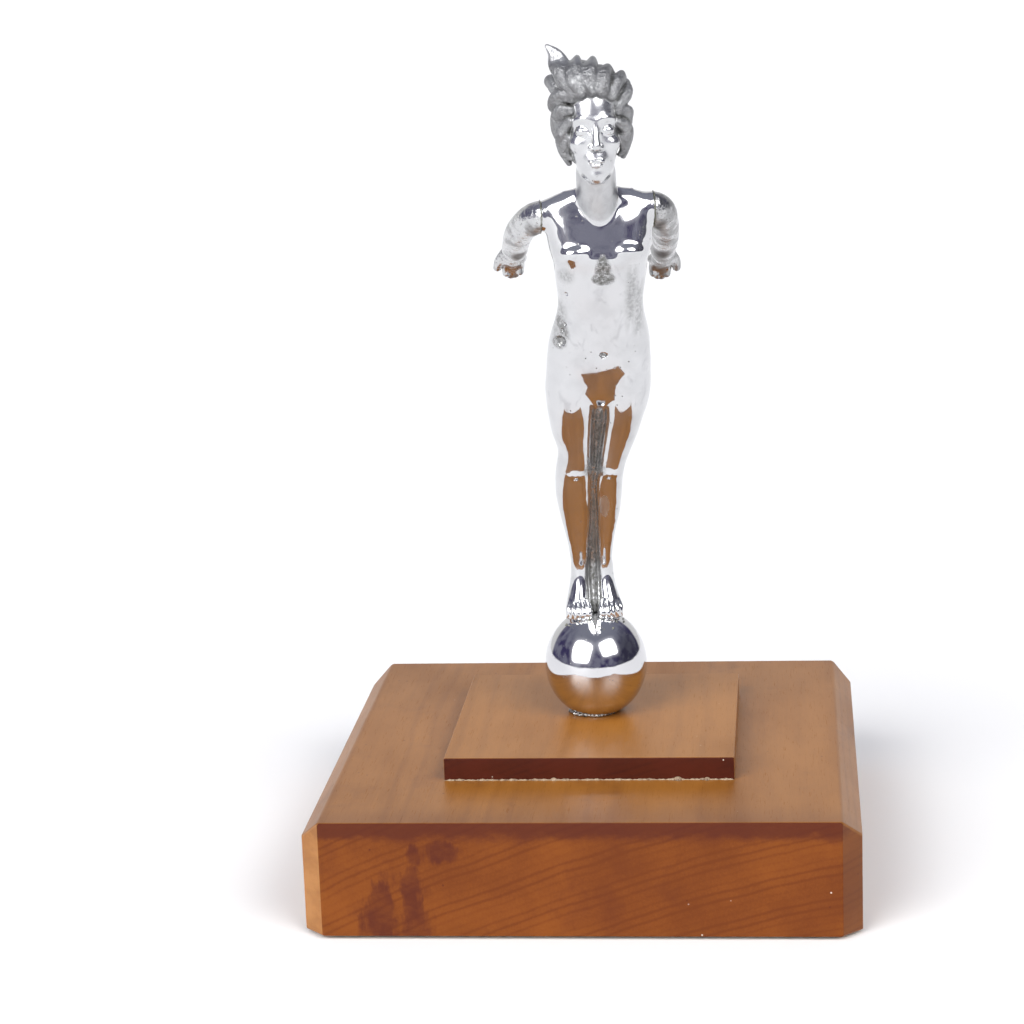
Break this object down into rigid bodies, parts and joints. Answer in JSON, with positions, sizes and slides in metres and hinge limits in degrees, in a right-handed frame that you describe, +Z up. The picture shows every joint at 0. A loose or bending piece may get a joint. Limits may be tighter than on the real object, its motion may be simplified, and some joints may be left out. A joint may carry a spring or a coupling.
{
  "type": "hood ornament",
  "caption": "Chromed nymph mascot leaning forward on a ball with swept-back arms, bolted by one stud to a two-tier bevelled wooden display plinth.",
  "frame": {"origin": "middle of the plinth's underside, on the surface it stands on", "axes": "+Z up, -Y towards the front the figure leans to, +X to the viewer's right; the figure is turned 9 degrees to the plinth's right"},
  "size_m": [0.14, 0.14, 0.2189],
  "materials": {
    "chrome": "polished, with fine pits",
    "chrome_arms": "duller polished plate with pitting",
    "collar_metal": "dark, rough, partly plated",
    "plated_steel": "zinc plated",
    "tier_wood": "satin varnish, light top with a dark front edge",
    "block_wood": "satin varnish over orange-brown stain",
    "glue": "dried glue",
    "felt": "felt"
  },
  "bodies": {
    "plinth": {"base_block": "block_wood", "top_tier": "tier_wood", "glue_bead": "glue", "clamp_washer": "plated_steel", "felt_pad": "felt"},
    "mascot": {"figure_body": "chrome", "right_arm": "chrome_arms", "left_arm": "chrome_arms", "ball": "chrome", "ball_collar": "collar_metal", "mounting_stud": "plated_steel", "spring_washer": "plated_steel", "hex_nut": "plated_steel"}
  },
  "joints": [
    {"name": "mascot_swivel", "type": "hinge", "parent": "plinth", "child": "mascot", "pos_m": [0.0005, 0.0035, 0.038], "axis": [0, 0, 1], "continuous": true}
  ]
}
